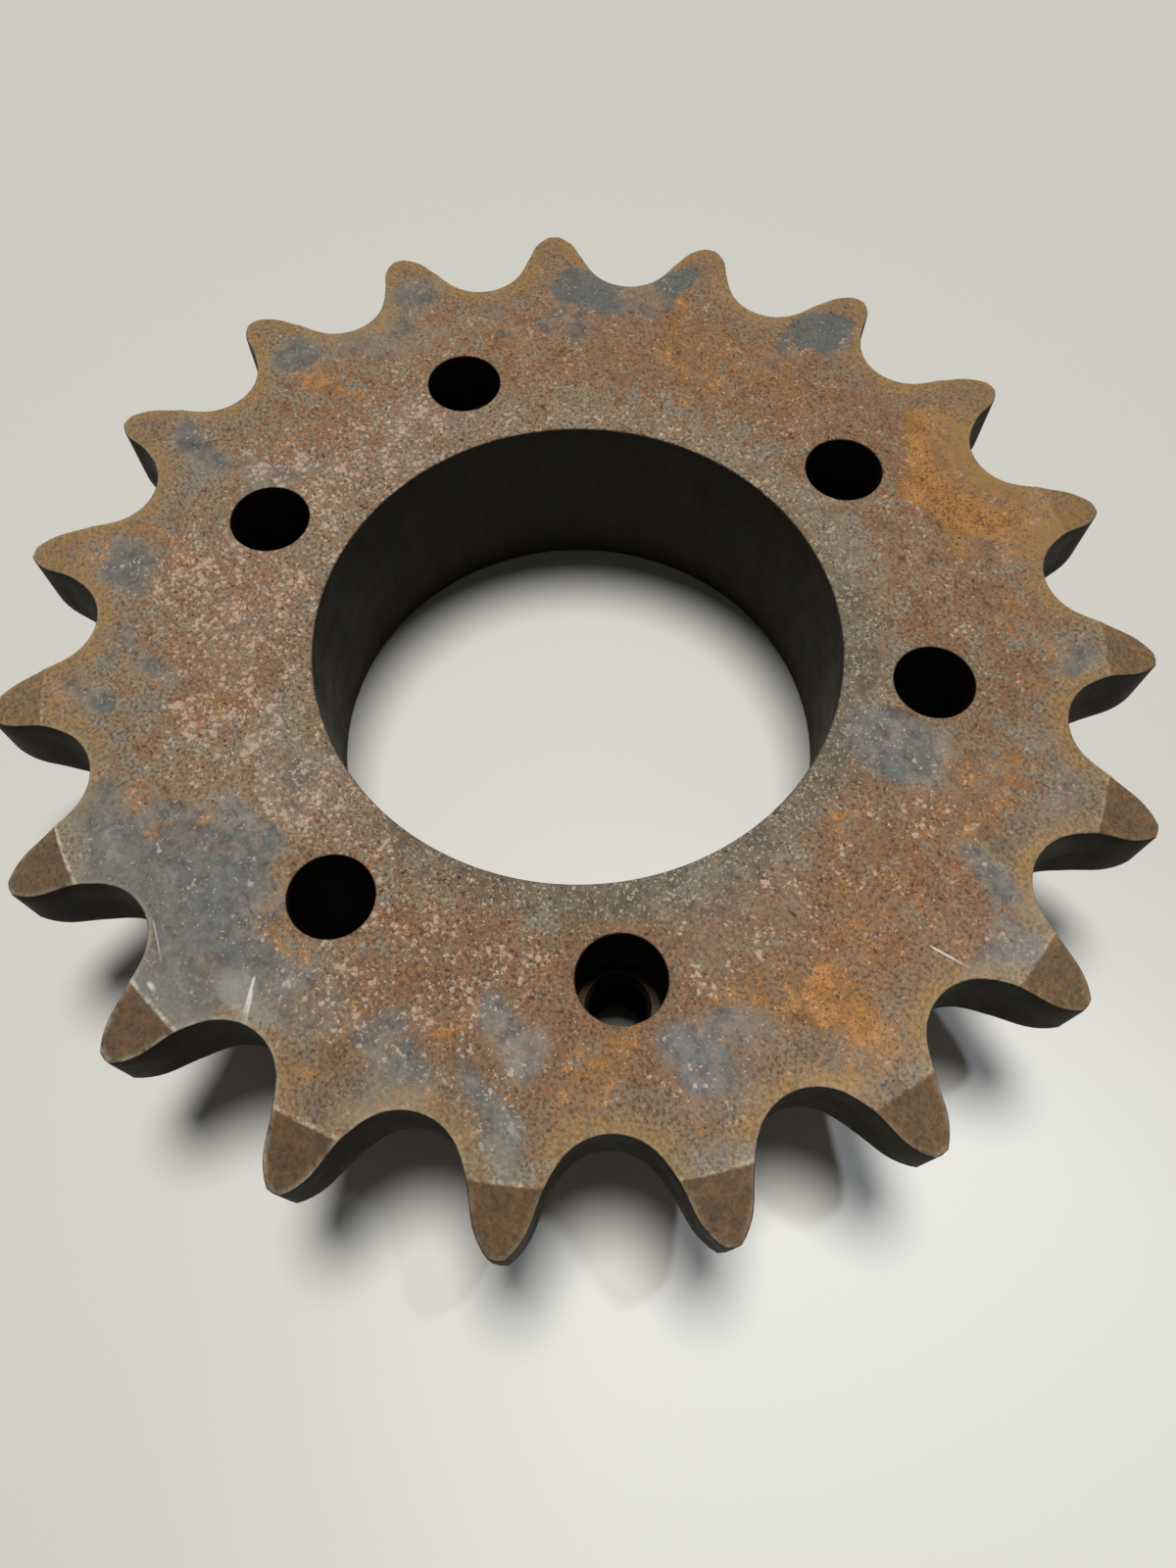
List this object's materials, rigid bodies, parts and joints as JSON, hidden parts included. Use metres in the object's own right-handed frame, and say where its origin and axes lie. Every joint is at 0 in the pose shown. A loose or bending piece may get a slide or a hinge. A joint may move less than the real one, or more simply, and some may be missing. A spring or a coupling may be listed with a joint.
{
  "type": "roller chain sprocket",
  "caption": "Roller chain sprocket: a toothed plate with bevelled tips welded to a short hub, which has a taper bore and two sets of screw holes for a split bushing.",
  "frame": {"origin": "centre of the hub's free end face, on the axis of rotation", "axes": "+Z along the axis of rotation, from the hub's free end to the toothed face; +Y through the middle of one tooth and one tapped hole"},
  "size_m": [0.2088, 0.2081, 0.0413],
  "materials": {
    "plate_steel": "rusted machined steel, hardened teeth",
    "hub_steel": "dark oxidised turned steel",
    "weld_metal": "as-laid weld bead, rusted"
  },
  "bodies": {
    "root": {"toothed_plate": "plate_steel", "hub": "hub_steel", "hub_weld": "weld_metal"}
  },
  "joints": []
}
